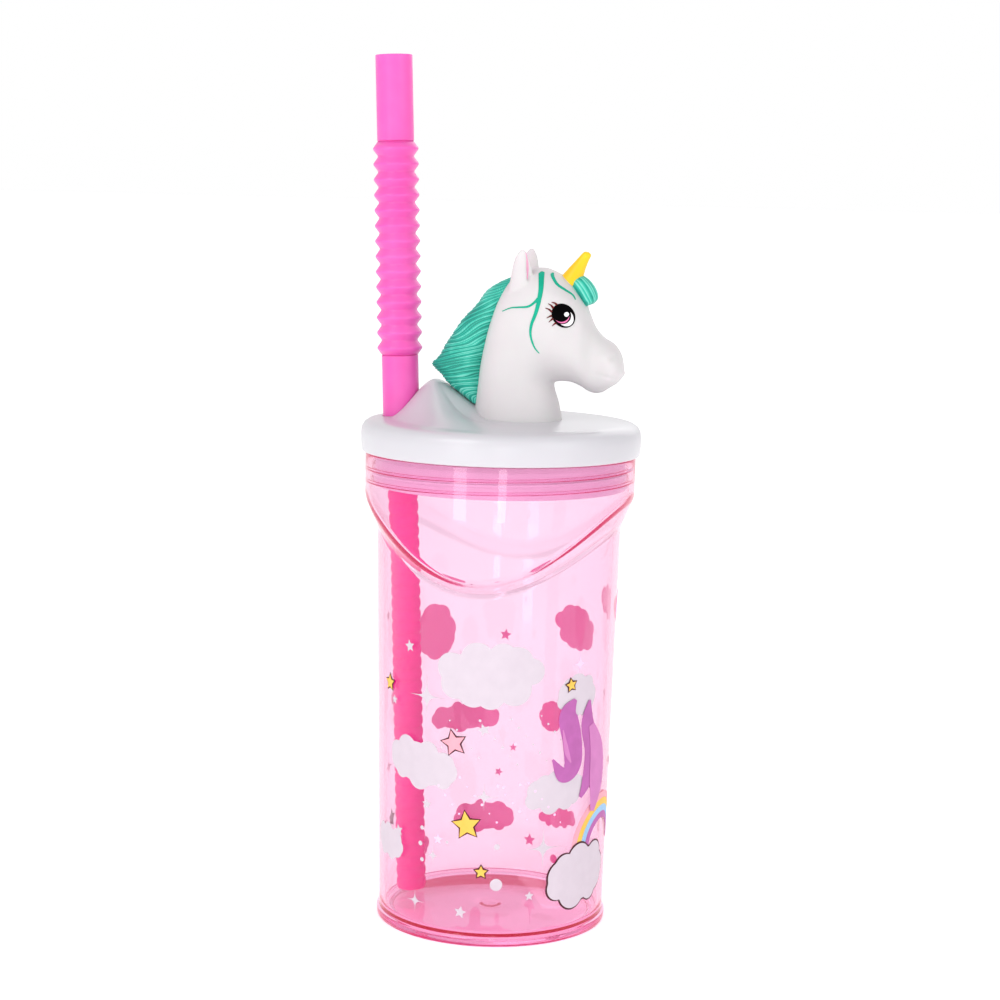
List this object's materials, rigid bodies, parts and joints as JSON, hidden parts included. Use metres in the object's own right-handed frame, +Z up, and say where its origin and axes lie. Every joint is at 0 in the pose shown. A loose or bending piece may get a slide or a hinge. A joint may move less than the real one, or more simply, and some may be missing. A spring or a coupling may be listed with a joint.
{
  "type": "kids water bottle",
  "caption": "Clear tapered tumbler with a swooping collar, screw lid topped by a unicorn head, and a bending straw through the lid.",
  "frame": {"origin": "middle of the base, on the plane that the foot ring stands on", "axes": "+Z up along the cup's axis, +X the way the unicorn faces, so the straw stands at -X and the collar's swoops dip at -Y and +Y"},
  "size_m": [0.078, 0.078, 0.241],
  "materials": {
    "clear_pink": "clear tinted plastic, polished",
    "lid_white": "glossy moulded plastic",
    "plug_white": "semi-gloss moulded plastic",
    "silicone": "matt silicone",
    "straw_pink": "soft satin polyethylene",
    "vinyl_white": "soft matt vinyl",
    "vinyl_teal": "painted vinyl, satin",
    "vinyl_yellow": "painted vinyl, satin",
    "steel": "zinc-plated screw"
  },
  "bodies": {
    "cup": {"cup": "clear_pink"},
    "seal": {"lid_gasket": "silicone"},
    "lid": {"lid_cap": "lid_white", "lid_plug": "plug_white", "straw_grommet": "silicone", "unicorn_head": "vinyl_white", "unicorn_mane": "vinyl_teal", "unicorn_forelock": "vinyl_teal", "unicorn_horn": "vinyl_yellow", "neck_plug": "plug_white", "head_screw": "steel"},
    "straw_lower": {"straw_tube": "straw_pink"},
    "straw_upper": {"straw_shank": "straw_pink", "straw_bellows": "straw_pink"},
    "straw_top": {"straw_mouthpiece": "straw_pink"}
  },
  "joints": [
    {"name": "lid_rise", "type": "slide", "parent": "cup", "child": "seal", "axis": [0, 0, 1], "range_m": [0, 0.01021]},
    {"name": "lid_turn", "type": "hinge", "parent": "seal", "child": "lid", "pos_m": [0, 0, 0.132], "axis": [0, 0, 1], "range_deg": [0, 1080]},
    {"name": "straw_slide", "type": "slide", "parent": "lid", "child": "straw_lower", "axis": [-0.0384, 0, 0.9993], "range_m": [-0.0022, 0.115]},
    {"name": "straw_turn", "type": "hinge", "parent": "straw_lower", "child": "straw_upper", "pos_m": [-0.0286, 0, 0.145], "axis": [-0.0384, 0, 0.9993], "continuous": true},
    {"name": "straw_bend", "type": "hinge", "parent": "straw_upper", "child": "straw_top", "pos_m": [-0.03025, 0, 0.18791], "axis": [0, 1, 0], "range_deg": [-80, 80], "deforming": ["straw_bellows"]}
  ],
  "couplings": [
    {"joint": "lid_rise", "follows": "lid_turn", "m_per_rad": 0.00054113}
  ]
}
